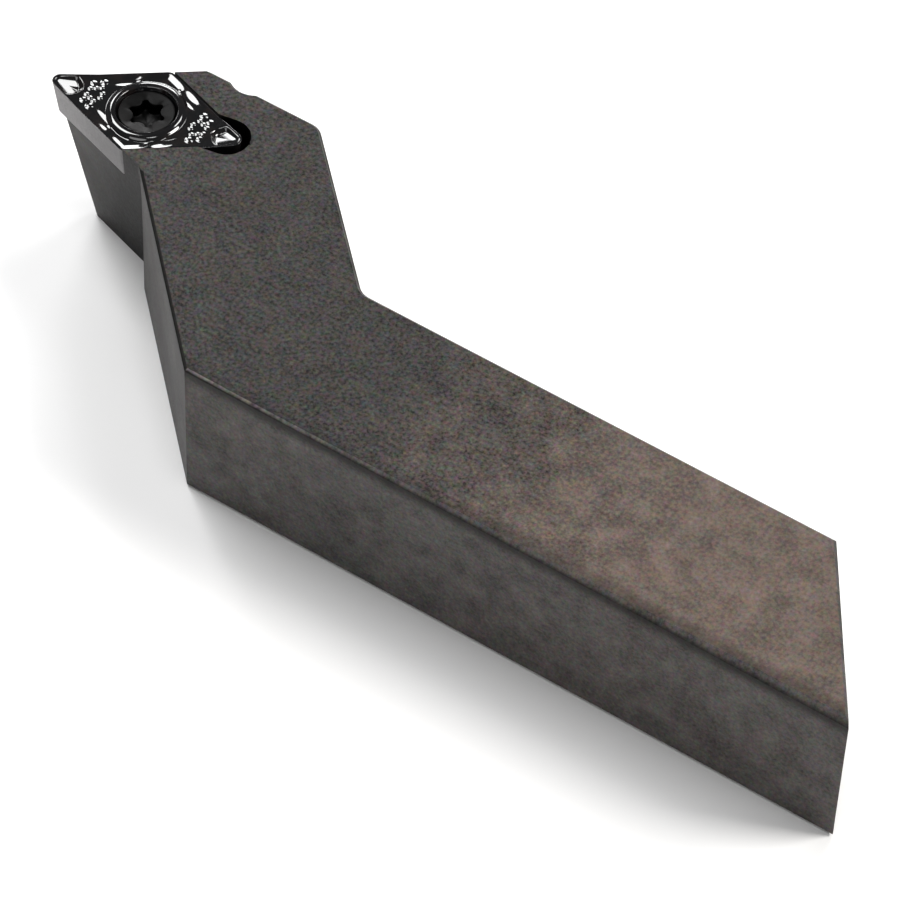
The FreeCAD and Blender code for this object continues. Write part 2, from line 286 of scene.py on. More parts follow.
@dataclass(frozen=True)
class BlackenedSteel:
    """Blasted and blackened steel: coloured grain, a brown cast to the rear that is partly painted
    light, and painted light and shade on the edges, sides, slot and top.

    Args:
        height: the shank's height in millimetres.
        dark: colour of the top near the head.
        brown: colour of the top near the rear, its extra brightness over dark partly painted light.
        ground: colour of the sides, lighter than the top's as painted light on the same steel.
        metal: share of metal in the shader.
        bend: place of the near bend along the shank in millimetres.
        bevel: width of the near bevel at the bend.
        bevel_growth: what the bevel gains with each millimetre towards the rear.
        slot: place of the slot behind the insert.
        slot_rim: distances from that place between which the painted shade in the slot ends.
        slot_foot: depths between which it ends.
    """

    height: float = 16.0
    dark: Colour = (0.0276, 0.0257, 0.0240, 1.0)
    brown: Colour = (0.089, 0.069, 0.058, 1.0)
    ground: Colour = (0.070, 0.0656, 0.0630, 1.0)
    metal: float = 0.55
    bend: float = -28.0
    bevel: float = 0.22
    bevel_growth: float = 0.0068
    slot: tuple[float, float] = (-39.0, 16.7)
    slot_rim: tuple[float, float] = (3.4, 4.2)
    slot_foot: tuple[float, float] = (4.6, 5.2)

    def edge_tone(self, board: NodeBoard, place: Signal, facing: Signal) -> Signal:
        """Painted light and shade on the sides near their upper edges.

        The near bevel gets a painted highlight along its upper edge, partly rubbed wear, most of all
        beside the bend, and fades to a painted shade line at its lower edge. Below the line the
        painted shade eases off slowly.

        Args:
            board: the material's board.
            place: place in millimetres.
            facing: the face's direction.

        Returns:
            A factor.
        """
        x, _, z = board.parts(place)
        across, near, _ = board.parts(facing)
        bevel = self.bevel + (x - self.bend) * self.bevel_growth
        depth = self.height - z
        shank = 1.0 - across.size().ease(0.05, 0.20)
        # painted highlight along the bevel's upper edge, partly rubbed wear
        rubbed_and_painted_light = (1.0 - (depth / bevel).ease(0.20, 1.0)) * near.size().ease(0.5, 0.65) * shank
        # painted shade line along the bevel's lower edge
        line = (depth / bevel).ease(0.15, 1.05) * (1.0 - (depth - bevel).ease(0.0, 1.6))
        bright = 1.55 - x.ease(self.bend, -6.0) * 1.2 - x.ease(-6.0, 12.0) * 0.2
        return 1.0 + rubbed_and_painted_light * bright - line * 0.76

    def top_tone(self, board: NodeBoard, place: Signal) -> Signal:
        """Painted shade on the top, which darkens over the last two millimetres before the near edge.

        Args:
            board: the material's board.
            place: place in millimetres.

        Returns:
            A factor.
        """
        x, y, _ = board.parts(place)
        wide = x.ease(-14.0, 10.0)
        inner = (y + 8.0 - wide * 0.5).ease(0.2, 1.7)
        # painted shade: the top darkens towards its near edge
        return 0.76 - wide * 0.18 + inner * (0.24 + wide * 0.18)

    def pocket_tone(self, board: NodeBoard, place: Signal) -> Signal:
        """Painted shade in the slot behind the insert, nearly black inside.

        Args:
            board: the material's board.
            place: place in millimetres.

        Returns:
            A factor.
        """
        x, y, z = board.parts(place)
        away = ((x - self.slot[0]) ** 2.0 + (y - self.slot[1]) ** 2.0) ** 0.5
        depth = self.height - z
        within = 1.0 - away.ease(*self.slot_rim)
        # painted shade filling the slot
        inside = within * depth.ease(0.02, 0.08) * (1.0 - depth.ease(*self.slot_foot))
        return 1.0 - inside * 0.85

    def front_tone(self, board: NodeBoard, place: Signal, facing: Signal) -> Signal:
        """Painted light and shade on the faces turned towards the nose: all darker, the relieved front
        lighter near the nose and darker towards its end and downwards.

        Args:
            board: the material's board.
            place: place in millimetres.
            facing: the face's direction.

        Returns:
            A factor.
        """
        x, _, z = board.parts(place)
        across, _, _ = board.parts(facing)
        ahead = 0.0 - across
        turned = ahead.ease(0.12, 0.24)
        front = turned * (1.0 - ahead.ease(0.45, 0.60))
        fade = (x - z * 0.25).ease(-63.0, -49.0)
        # painted shade on the faces turned to the nose; on the front, painted light near the nose and
        # painted shade towards its end and foot
        return 1.0 - turned * 0.44 + front * (0.36 - fade * 0.77)

    def material(self) -> Any:
        """Build the material.

        Returns:
            The material.
        """
        board = NodeBoard("blackened_steel")
        place = board.place()
        facing = board.source(Source.FACING)
        along, _, _ = board.parts(place)
        _, _, up = board.parts(facing)
        grain = board.noise(place, 3.0, 3.0, 0.65)
        fine = board.noise(place, 8.0, 2.0, 0.6)
        speckle = board.noise(place, 2.4, 2.0, 0.6, "Color")
        cloud = board.noise(place, 0.10, 3.0, 0.5)
        patch = board.noise(place, 0.45, 3.0, 0.6)
        # top and sides take separate colours by facing: painted light and shade on one steel
        top = up.size().ease(0.90, 0.99)
        # brown cast to the rear; the brightening towards the rear is partly painted light
        brown_cast_and_painted_light = (along + (cloud - 0.5) * 30.0 + (patch - 0.5) * 12.0).ease(-15.0, 16.0)
        blasted = board.mix(brown_cast_and_painted_light, self.dark, self.brown)
        side = board.mix((cloud.ease(0.42, 0.62) + brown_cast_and_painted_light) * 0.10, self.ground, self.brown)
        coat = board.mix(top, side, blasted)
        tinted = board.mix(0.50 + top * (0.35 - brown_cast_and_painted_light * 0.40), coat, speckle, "OVERLAY")
        grained = (grain - 0.5) * (2.0 + top * (2.7 - brown_cast_and_painted_light * 3.0))
        patched = (patch - 0.5) * (1.5 - top * (0.3 - brown_cast_and_painted_light * 0.1))
        # painted light and shade: edge and front tones on the sides, top tone on the top
        sides = self.edge_tone(board, place, facing) * self.front_tone(board, place, facing)
        tone = sides + (self.top_tone(board, place) - sides) * top
        level = (1.0 + grained + patched) * tone * self.pocket_tone(board, place)
        relief = grain * 0.65 + fine * 0.35
        return board.finish(
            {
                "Base Color": board.shaded(tinted, level),
                "Metallic": self.metal,
                "Specular IOR Level": 0.15,
                "Roughness": 0.52 + (grain - 0.5) * 0.3 + (cloud - 0.5) * 0.2,
                "Normal": board.bump(relief, 0.06, 0.5),
            }
        )


@dataclass(frozen=True)
class GlossyCoat:
    """Black polished coat on the insert's chip face.

    Args:
        black: its colour.
        brown: colour of the faint cast in patches.
    """

    black: Colour = (0.0025, 0.0025, 0.003, 1.0)
    brown: Colour = (0.012, 0.008, 0.007, 1.0)

    def material(self) -> Any:
        """Build the material.

        Returns:
            The material.
        """
        board = NodeBoard("glossy_coat")
        place = board.place()
        cloud = board.noise(place, 0.8, 3.0)
        pits = board.noise(place, 14.0, 2.0)
        return board.finish(
            {
                "Base Color": board.mix(cloud.ease(0.45, 0.75) * 0.6, self.black, self.brown),
                "Metallic": 0.0,
                "Roughness": 0.065 + (pits - 0.5) * 0.04,
                "Coat Weight": 0.8,
                "Coat Roughness": 0.05,
                "Normal": board.bump(pits, 0.003, 0.3),
            }
        )


@dataclass(frozen=True)
class GroundFlank:
    """Satin grey ground flanks of the insert, with grinding lines across them and painted shade towards
    the seat.

    Args:
        grey: colour of the ridges.
        worn: colour between them.
        painted_shade_black: colour of the painted shade on the corner inside the seat.
        dim_line: places along the tool in millimetres between which painted shade darkens the near
            flank.
        seat_line: places between which the painted shade of the corner inside the seat starts.
    """

    grey: Colour = (0.22, 0.213, 0.215, 1.0)
    worn: Colour = (0.145, 0.140, 0.142, 1.0)
    painted_shade_black: Colour = (0.008, 0.008, 0.008, 1.0)
    dim_line: tuple[float, float] = (-56.0, -50.0)
    seat_line: tuple[float, float] = (-43.5, -42.0)

    def material(self) -> Any:
        """Build the material.

        Returns:
            The material.
        """
        board = NodeBoard("ground_flank")
        place = board.place()
        lines = board.noise(board.stretched(place, (6.0, 6.0, 0.5)), 1.0, 3.0)
        grit = board.noise(place, 6.0, 2.0, 0.6)
        along, _, _ = board.parts(place)
        satin = board.mix((lines * 0.3 + grit * 0.7).ease(0.35, 0.65), self.worn, self.grey)
        # painted shade darkening the near flank towards the seat
        dimmed = board.mix(along.ease(*self.dim_line) * 0.25, satin, self.painted_shade_black)
        # painted shade on the corner inside the seat
        colour = board.mix(along.ease(*self.seat_line), dimmed, self.painted_shade_black)
        return board.finish(
            {
                "Base Color": colour,
                "Metallic": 0.5,
                "Roughness": 0.5 + (grit - 0.5) * 0.2,
                "Normal": board.bump(grit, 0.02, 0.4),
            }
        )


@dataclass(frozen=True)
class BlackOxide:
    """Screw finish: black oxide over turned steel, with painted shade on the socket's walls and painted
    light on its floor and on the near half of the head.

    Args:
        top: height of the seat's top face in millimetres.
        lit_half_line: place across the tool of the middle between the black half and the half with
            painted light.
        black: its colour.
        rubbed_and_painted_light: colour of the rubbed patches and of the painted light on the near half.
        wall: depths between which painted shade turns the socket's walls black.
        floor: depths between which painted light makes its floor paler again.
    """

    top: float = 16.0
    lit_half_line: float = 15.0
    black: Colour = (0.005, 0.005, 0.005, 1.0)
    rubbed_and_painted_light: Colour = (0.007, 0.0067, 0.0067, 1.0)
    wall: tuple[float, float] = (0.35, 0.9)
    floor: tuple[float, float] = (1.75, 1.95)

    def material(self) -> Any:
        """Build the material.

        Returns:
            The material.
        """
        board = NodeBoard("black_oxide")
        place = board.place()
        _, y, z = board.parts(place)
        grit = board.noise(place, 7.0, 2.0)
        cloud = board.noise(place, 1.1, 3.0)
        # painted light on the near half of the head, plus rubbed patches at random
        worn = (cloud - 0.5) * 0.6 + (self.lit_half_line - y).ease(-1.0, 2.2)
        base = board.mix(worn, self.black, self.rubbed_and_painted_light)
        depth = self.top - z
        # painted shade on the socket's walls, painted light on its floor
        level = 1.0 - depth.ease(*self.wall) * 0.85 + depth.ease(*self.floor) * 2.5
        return board.finish(
            {
                "Base Color": board.shaded(base, level),
                "Metallic": 0.9,
                "Specular IOR Level": 0.2,
                "Roughness": 0.40 + (grit - 0.5) * 0.2,
                "Normal": board.bump(grit, 0.012, 0.5),
            }
        )


@dataclass(frozen=True)
class PaleFloor:
    """Plain white table.

    Args:
        white: its colour.
        worn: colour of its faint clouds.
    """

    white: Colour = (0.86, 0.86, 0.86, 1.0)
    worn: Colour = (0.80, 0.80, 0.80, 1.0)

    def material(self) -> Any:
        """Build the material.

        Returns:
            The material.
        """
        board = NodeBoard("pale_floor")
        cloud = board.noise(board.place(), 0.02, 3.0)
        colour = board.mix(cloud * 0.04, self.white, self.worn)
        return board.finish({"Base Color": colour, "Roughness": 0.75 + (cloud - 0.5) * 0.05})


def smooth_step(value: np.ndarray, low: float, high: Union[float, np.ndarray]) -> np.ndarray:
    """Rise from 0 at low to 1 at high along 3t^2 - 2t^3.

    Args:
        value: array of values.
        low: value that gives 0.
        high: value that gives 1.

    Returns:
        The eased array.
    """
    share = np.clip((value - low) / (high - low), 0.0, 1.0)
    return share * share * (3.0 - 2.0 * share)


def grid_mesh(
    name: str,
    points: np.ndarray,
    materials: list[Any],
    row_slots: np.ndarray,
    ring: bool,
    ends: Optional[tuple[np.ndarray, np.ndarray]] = None,
) -> Any:
    """Make a closed mesh from rows of points that each run round the same axis.

    Each cell of the grid is one four-sided face. The columns always close on themselves. The rows
    close on themselves too, or end in one point each.

    Args:
        name: the piece's name.
        points: rows by columns by 3, in metres.
        materials: the piece's materials.
        row_slots: material number of the faces that start at each row.
        ring: whether the last row joins the first.
        ends: first and last point, where the rows don't join.

    Returns:
        The new object, linked to the scene.
    """
    rows, columns, _ = points.shape
    index = np.arange(rows * columns).reshape(rows, columns)
    after = np.roll(index, -1, axis=1)
    low, high = (index, np.roll(index, -1, axis=0)) if ring else (index[:-1], index[1:])
    low_after, high_after = (after, np.roll(after, -1, axis=0)) if ring else (after[:-1], after[1:])
    quads = np.stack([low, high, high_after, low_after], axis=-1)
    faces = quads.reshape(-1, 4).tolist()
    slots = np.repeat(row_slots[: quads.shape[0]], columns).tolist()
    vertices = points.reshape(-1, 3)
    if ends is not None:
        vertices = np.vstack([vertices, ends[0], ends[1]])
        first = np.full(columns, rows * columns)
        faces += np.stack([first, index[0], after[0]], axis=-1).tolist()
        faces += np.stack([index[-1], first + 1, after[-1]], axis=-1).tolist()
        slots += [int(row_slots[0])] * columns + [int(row_slots[-1])] * columns
    mesh = bpy.data.meshes.new(name)
    mesh.from_pydata(vertices.tolist(), [], faces)
    for material in materials:
        mesh.materials.append(material)
    mesh.polygons.foreach_set("material_index", slots)
    mesh.polygons.foreach_set("use_smooth", np.ones(len(faces), bool))
    mesh.update()
    piece = bpy.data.objects.new(name, mesh)
    bpy.context.scene.collection.objects.link(piece)
    return piece


@dataclass
class Seat:
    """Where the insert and its screw sit: the insert's centre on its top face, long diagonal along x.

    Args:
        x: place along the shank in millimetres.
        y: place across it.
        z: height of the top face.
        turn: turn of the long diagonal in degrees.
    """

    x: float = -48.479
    y: float = 14.996
    z: float = 16.0
    turn: float = 10.0

    def settle(self, points: np.ndarray) -> np.ndarray:
        """Turn and move points from the seat's own axes into the frame.

        Args:
            points: any array whose last axis is x, y, z in millimetres.

        Returns:
            The same array in metres.
        """
        angle = radians(self.turn)
        x = points[..., 0] * cos(angle) - points[..., 1] * sin(angle) + self.x
        y = points[..., 0] * sin(angle) + points[..., 1] * cos(angle) + self.y
        return np.stack([x, y, points[..., 2] + self.z], axis=-1) * MM


@dataclass
class CuttingInsert:
    """Rhombic insert with its chip breaker, ring, countersunk hole and leaning flanks.

    Sizes are in millimetres and degrees.

    Args:
        edge: length of each side of the sharp rhombus.
        point: angle of its sharp corners.
        thickness: height from the foot to the nose.
        flank: lean of the flanks.
        nose: radius of the corners.
        hole: diameter of the hole.
        sink: diameter of the countersink at the top.
        sink_slope: lean of the countersink.
        ring: diameter of the raised ring.
        crown: radius of the ring's flat part.
        crown_round: radius of the rounding outside it.
        dip: fall of the cutting edge between its corners.
        dip_start: distance from the sharp corner at which it starts to fall.
        dip_run: length of the fall.
        channel: distances from the edge between which the channel falls to its full depth.
        channel_depth: its depth near the sharp corners, and what it gains beside the blunt ones.
        channel_gain: places along the long diagonal between which it gains that.
        waist: place, width and strength of the shallow stretch beside each blunt corner.
        plateau: where the channel's far slope ends, at the blunt corners and away from them.
        dish_start: distance from the sharp corner at which the dish starts.
        dish_slope: slope of its floor.
        dish_end: distances from the sharp corner between which it ends.
        bump_table: place along and across, radius and height of the bumps in one quarter.
        side_columns: points along each side.
        nose_columns: points round each corner.
        top_rows: rows from the hole to the edge.
        seat: where it sits.
    """

    edge: float = 11.6
    point: float = 55.0
    thickness: float = 3.97
    flank: float = 7.0
    nose: float = 0.8
    hole: float = 4.4
    sink: float = 5.7
    sink_slope: float = 30.0
    ring: float = 6.86
    crown: float = 3.1
    crown_round: float = 0.7
    dip: float = 0.25
    dip_start: float = 1.0
    dip_run: float = 3.4
    channel: tuple[float, float] = (0.12, 0.90)
    channel_depth: tuple[float, float] = (0.03, 0.11)
    channel_gain: tuple[float, float] = (4.8, 2.4)
    waist: tuple[float, float, float] = (1.95, 0.5, 0.65)
    plateau: tuple[float, float] = (2.2, 1.6)
    dish_start: float = 0.75
    dish_slope: float = 0.19
    dish_end: tuple[float, float] = (2.9, 3.5)
    bump_table: tuple[tuple[float, float, float, float], ...] = (
        (5.80, 1.12, 0.40, 0.07),
        (4.95, 1.60, 0.44, 0.08),
        (5.80, 0.38, 0.28, 0.05),
        (5.34, 0.64, 0.28, 0.05),
        (4.88, 0.90, 0.28, 0.05),
        (4.50, 0.28, 0.28, 0.05),
    )
    side_columns: int = 110
    nose_columns: int = 36
    top_rows: int = 130
    seat: Seat = field(default_factory=Seat)

    def half(self) -> float:
        """Half of the point angle in radians."""
        return radians(self.point / 2)

    def outline(self, inset: float, rounding: float) -> np.ndarray:
        """Outline of the rhombus, moved inwards, as an array of points.

        Each corner is an arc about a centre on its diagonal, at the corner's distance less
        rounding / sin(half its angle). Straight sides join the arcs.

        Args:
            inset: distance from the sharp outline.
            rounding: radius of the corners.

        Returns:
            Columns by 2, anticlockwise from the middle of the rear corner.
        """
        half = self.half()
        halves = (half, pi / 2 - half)
        reaches = (self.edge * cos(half), self.edge * sin(half))
        spread = (np.arange(self.nose_columns) + 0.5) / self.nose_columns * 2 - 1
        along = ((np.arange(self.side_columns) + 0.5) / self.side_columns)[:, None]
        arcs = []
        for corner in range(4):
            inner, reach = halves[corner % 2], reaches[corner % 2]
            centre = reach - (inset + rounding) / sin(inner)
            way = corner * pi / 2
            angle = way + spread * (pi / 2 - inner)
            arc = np.stack([np.cos(angle), np.sin(angle)], axis=-1) * rounding
            arcs.append(arc + centre * np.array([cos(way), sin(way)]))
        sides = [
            arcs[corner][-1] * (1 - along) + arcs[(corner + 1) % 4][0] * along for corner in range(4)
        ]
        return np.concatenate([part for pair in zip(arcs, sides) for part in pair])

    def inset_of(self, x: np.ndarray, y: np.ndarray) -> np.ndarray:
        """Distance of points from the rounded outline, measured inwards.

        Beside a side it is the side's own distance less x sin + y cos of the half angle. Past the
        start of a corner's arc it is the corner's radius less the distance to the arc's centre.

        Args:
            x: place along the long diagonal.
            y: place along the short one.

        Returns:
            The distances.
        """
        half = self.half()
        x, y = np.abs(x), np.abs(y)
        depth = self.edge * cos(half) * sin(half) - x * sin(half) - y * cos(half)
        tip = self.edge * cos(half) - self.nose / sin(half)
        blunt = self.edge * sin(half) - self.nose / cos(half)
        past_tip = (x - tip) * cos(half) - y * sin(half) > 0
        past_blunt = (y - blunt) * sin(half) - x * cos(half) > 0
        depth = np.where(past_tip, self.nose - np.hypot(x - tip, y), depth)
        return np.where(past_blunt, self.nose - np.hypot(x, y - blunt), depth)

    def bumps(self, x: np.ndarray, y: np.ndarray) -> np.ndarray:
        """Height of the small round bumps between each sharp corner and the ring.

        Each bump is its height times (1 - (distance / radius)^2)^1.5. All four quarters are alike.

        Args:
            x: place along the long diagonal.
            y: place along the short one.

        Returns:
            Heights in millimetres.
        """
        x, y = np.abs(x), np.abs(y)
        total = np.zeros_like(x)
        for bump_x, bump_y, radius, height in self.bump_table:
            near = np.hypot(x - bump_x, y - bump_y) / radius
            total += height * np.clip(1 - near * near, 0, 1) ** 1.5
        return total

    def edge_height(self, x: np.ndarray) -> np.ndarray:
        """Height of the cutting edge: level at the nose, then falling evenly, then level again.

        Args:
            x: place along the long diagonal.

        Returns:
            Heights in millimetres.
        """
        from_tip = self.edge * cos(self.half()) - np.abs(x)
        return -self.dip * np.clip((from_tip - self.dip_start) / self.dip_run, 0, 1)

    def relief(self, x: np.ndarray, y: np.ndarray) -> np.ndarray:
        """Height of the chip face.

        It is the edge's height, less the channel, less the dish, plus the bumps. The channel eases
        down behind the land and back up to a tenth of its depth on the plateau. Its depth is
        d + g s (1 - w e^(-((x - p) / b)^2)), where s eases from 0 to 1 along the long diagonal and
        the last factor makes a shallow stretch at p. The dish is a ramp that falls away from the
        sharp corner and eases back up along a curved end. Round the hole the ring takes over: flat
        inside, then less the square of the distance from its flat part over twice its rounding.

        Args:
            x: place along the long diagonal.
            y: place along the short one.

        Returns:
            Heights, zero at the nose.
        """
        inset, away, along = self.inset_of(x, y), np.hypot(x, y), np.abs(x)
        from_tip = self.edge * cos(self.half()) - along
        place, width, strength = self.waist
        waist = 1 - strength * np.exp(-(((along - place) / width) ** 2))
        shallow, gain = self.channel_depth
        deep = shallow + gain * smooth_step(-along, -self.channel_gain[0], -self.channel_gain[1]) * waist
        near, far = self.plateau
        plateau = near - (near - far) * smooth_step(along, 2.0, 3.0)
        channel = smooth_step(inset, *self.channel) * (1 - 0.9 * smooth_step(inset, 1.05, plateau))
        ramp = np.hypot(np.clip(from_tip - self.dish_start, 0, None), 0.2) - 0.2
        end = smooth_step(from_tip - 0.45 * (1 - (y / 0.8) ** 2), *self.dish_end)
        dish = self.dish_slope * ramp * (1 - end) * smooth_step(inset, 0.20, 0.50)
        ground = self.edge_height(x) - deep * channel - dish + self.bumps(x, y)
        crown = -(np.clip(away - self.crown, 0, None) ** 2) / (2 * self.crown_round)
        outside = smooth_step(away, self.ring / 2, self.ring / 2 + 0.38)
        return np.minimum(crown * (1 - outside) + ground * outside, 0.0)

    def surface(self) -> tuple[np.ndarray, np.ndarray]:
        """All rows of the closed surface, from the hole's foot up, over the top and down the flank.

        Returns:
            Rows by columns by 3 in millimetres, and each row's material number.
        """
        rim = self.outline(0.0, self.nose)
        way = np.arctan2(rim[:, 1], rim[:, 0])
        turn = np.stack([np.cos(way), np.sin(way)], axis=-1)
        slope = tan(radians(self.sink_slope))
        sink_depth = (self.sink - self.hole) / 2 / slope
        bore = [(self.hole / 2, -self.thickness), (self.hole / 2, -sink_depth - 0.02)]
        bore += [(self.hole / 2 + 0.02, -sink_depth + 0.02), (self.sink / 2 - 0.03, -0.13)]
        rows = [np.column_stack([turn * radius, np.full(len(way), height)]) for radius, height in bore]
        share = np.linspace(0.0, 1.0, self.top_rows)[:, None, None]
        flat = turn * (self.sink / 2) * (1 - share) + rim * share
        height = self.relief(flat[..., 0], flat[..., 1])
        height[-1] -= 0.012
        rows += list(np.concatenate([flat, height[..., None]], axis=-1))
        inset = self.thickness * tan(radians(self.flank))
        foot = self.outline(inset, self.nose - inset)
        flank_rows = len(rows)
        top_edge = height[-1]
        for part in (0.02, 0.3, 0.6, 0.97):
            leaning = rim * (1 - part) + foot * part
            level = top_edge * (1 - part) - self.thickness * part
            rows.append(np.column_stack([leaning, level]))
        rows.append(np.column_stack([foot * 0.995, np.full(len(way), -self.thickness)]))
        slots = np.zeros(len(rows), int)
        slots[flank_rows - 1 :] = 1
        return np.stack(rows), slots

    def build(self) -> Any:
        """Make the insert and let it stand for its plain solid.

        Returns:
            The piece.
        """
        points, slots = self.surface()
        materials = [GlossyCoat().material(), GroundFlank().material()]
        piece = grid_mesh("insert_chip_face", self.seat.settle(points), materials, slots, True)
        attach(piece, "root")
        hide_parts("insert")
        LOG.info("insert: %d faces", len(piece.data.polygons))
        return piece


@dataclass
class ClampScrew:
    """Countersunk screw with a six-lobe socket and a cut thread.

    Sizes are in millimetres and degrees.

    Args:
        diameter: outer diameter of the thread.
        pitch: rise of the thread in one turn.
        thread_depth: depth of the thread.
        thread_start: length over which the thread grows below the head.
        thread_rows: rows along the thread.
        recess: depth of the head's top below the insert's.
        length: from the insert's top to the point's end.
        point: length and width of the point's bevel.
        sink: diameter of the insert's countersink at its top.
        slope: lean of the head.
        gap: play between the head and the countersink.
        rim: height and width of the head's rounded edge.
        socket: width of the socket across its lobes.
        waist: width between them.
        lobe: radius of a lobe.
        socket_depth: depth of the socket's walls.
        socket_edge: width of the rounding round the socket.
        floor_slope: fall of the floor's cone towards its middle.
        floor_middle: depth of the middle below the walls' foot.
        dish: fall of the head's top towards the socket.
        columns: points round the screw.
        seat: where it sits.
    """

    diameter: float = 4.0
    pitch: float = 0.7
    thread_depth: float = 0.38
    thread_start: float = 0.8
    thread_rows: int = 110
    recess: float = 0.35
    length: float = 10.0
    point: float = 0.4
    sink: float = 5.7
    slope: float = 30.0
    gap: float = 0.035
    rim: float = 0.12
    socket: float = 3.35
    waist: float = 2.4
    lobe: float = 0.267
    socket_depth: float = 1.5
    socket_edge: float = 0.09
    floor_slope: float = 0.10
    floor_middle: float = 0.14
    dish: float = 0.20
    columns: int = 240
    seat: Seat = field(default_factory=Seat)

    def socket_radius(self, way: np.ndarray) -> np.ndarray:
        """Radius of the six-lobe outline in each direction.

        Near a lobe it is the far crossing with the lobe's arc, a cos + sqrt(r^2 - a^2 sin^2).
        Between lobes it is the near crossing with the hollow arc, b cos - sqrt(R^2 - b^2 sin^2).

        Args:
            way: directions in radians.

        Returns:
            The radii.
        """
        reach = self.socket / 2 - self.lobe
        waist = self.waist / 2
        top = self.lobe**2 - reach**2 - waist**2 + 2 * reach * waist * cos(pi / 6)
        hollow = top / (2 * (waist - self.lobe - reach * cos(pi / 6)))
        centre = waist + hollow
        fold = np.abs((way + pi / 6) % (pi / 3) - pi / 6)
        share = self.lobe / (self.lobe + hollow)
        touch_x = reach + (centre * cos(pi / 6) - reach) * share
        touch_y = centre * sin(pi / 6) * share
        limit = np.arctan2(touch_y, touch_x)
        near = np.minimum(fold, limit)
        outer = reach * np.cos(near) + np.sqrt(self.lobe**2 - (reach * np.sin(near)) ** 2)
        off = pi / 6 - np.maximum(fold, limit)
        inner = centre * np.cos(off) - np.sqrt(hollow**2 - (centre * np.sin(off)) ** 2)
        return np.where(fold < limit, outer, inner)

    def surface(self) -> np.ndarray:
        """Rows from the socket's floor up its wall, over the head and down the thread.

        The thread's radius is the full radius less a triangle wave of height and direction.

        Returns:
            Rows by columns by 3 in millimetres.
        """
        way = np.arange(self.columns) / self.columns * 2 * pi
        lobes = self.socket_radius(way)
        round_one = np.ones_like(way)
        top = -self.recess
        floor = top - self.socket_depth
        slope = tan(radians(self.slope))
        head = self.sink / 2 - self.gap - self.recess * slope
        foot = -((self.sink - self.diameter) / 2 - self.gap) / slope
        shares = (0.3, 0.6, 0.9)
        rows = [(lobes * share, floor - self.floor_slope * (1 - share)) for share in shares]
        rows += [(lobes * 0.985, floor + 0.01), (lobes, floor + 0.05)]
        rows += [(lobes, top - 0.34), (lobes + 0.015, top - 0.27)]
        rows += [(lobes + 0.05, top - self.dish - 0.01), (lobes + self.socket_edge, top - self.dish)]
        for share in shares:
            radius = (lobes + self.socket_edge) * (1 - share) + (head - self.rim) * share
            rows.append((radius, top - self.dish * (1 - share)))
        rows += [(round_one * (head - self.rim), top)]
        rows += [(round_one * (head - 0.4 * self.rim), top - 0.15 * self.rim)]
        rows += [(round_one * (head - 0.08), top - 0.6 * self.rim)]
        rows += [(round_one * (head - self.rim * slope), top - self.rim)]
        rows += [(round_one * self.diameter / 2, foot)]
        for height in np.linspace(foot - 0.1, -self.length + self.point, self.thread_rows):
            wave = np.abs(((height / self.pitch - way / (2 * pi)) % 1.0) * 2 - 1)
            growth = min(1.0, (foot - height) / self.thread_start)
            fade = growth * min(1.0, (height + self.length) / (2 * self.point))
            rows.append((self.diameter / 2 - self.thread_depth * fade * wave, height))
        rows += [(round_one * (self.diameter / 2 - self.point), -self.length)]
        stacked = [
            np.column_stack([radius * np.cos(way), radius * np.sin(way), np.full(self.columns, height)])
            for radius, height in rows
        ]
        return np.stack(stacked)

    def build(self) -> Any:
        """Make the screw and let it stand for its plain solid.

        Returns:
            The piece.
        """
        points = self.seat.settle(self.surface())
        middle = -self.recess - self.socket_depth - self.floor_middle
        low = self.seat.settle(np.array([0.0, 0.0, middle]))
        high = self.seat.settle(np.array([0.0, 0.0, -self.length]))
        slots = np.zeros(len(points), int)
        materials = [BlackOxide().material()]
        piece = grid_mesh("screw_with_thread", points, materials, slots, False, (low, high))
        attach(piece, "root")
        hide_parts("clamp_screw")
        LOG.info("screw: %d faces", len(piece.data.polygons))
        return piece


@dataclass
class ToolBody:
    """The steel holder, taken over from the frame as it is and given its finish.

    Args:
        node: the frame's name for it.
    """

    node: str = "tool_body"

    def dress(self, nodes: dict[str, Any]) -> Any:
        """Give the holder its finish.

        Args:
            nodes: the frame's nodes by name.

        Returns:
            The holder.
        """
        piece = nodes[self.node]
        piece.data.materials.clear()
        piece.data.materials.append(BlackenedSteel().material())
        LOG.info("body: %d faces", len(piece.data.polygons))
        return piece


@dataclass
class Softbox:
    """One square area light that points at the insert.

    Args:
        name: its name.
        way: direction from the insert to it.
        spread: half of the angle that it covers as seen from the insert, degrees.
        power: watts.
        tint: its colour.
        aim: where it points, metres.
        reach: its distance in metres.
    """

    name: str
    way: tuple[float, float, float]
    spread: float
    power: float
    tint: tuple[float, float, float] = (1.0, 1.0, 1.0)
    aim: tuple[float, float, float] = (-0.048, 0.015, 0.016)
    reach: float = 0.6

    def build(self) -> Any:
        """Add the light.

        Returns:
            The light's object.
        """
        lamp = bpy.data.lights.new(self.name, "AREA")
        lamp.shape = "SQUARE"
        lamp.size = 2 * self.reach * tan(radians(self.spread))
        lamp.energy = self.power
        lamp.color = self.tint
        holder = bpy.data.objects.new(self.name, lamp)
        way = Vector(self.way).normalized()
        holder.location = Vector(self.aim) + way * self.reach
        holder.rotation_euler = (-way).to_track_quat("-Z", "Y").to_euler()
        bpy.context.scene.collection.objects.link(holder)
        return holder


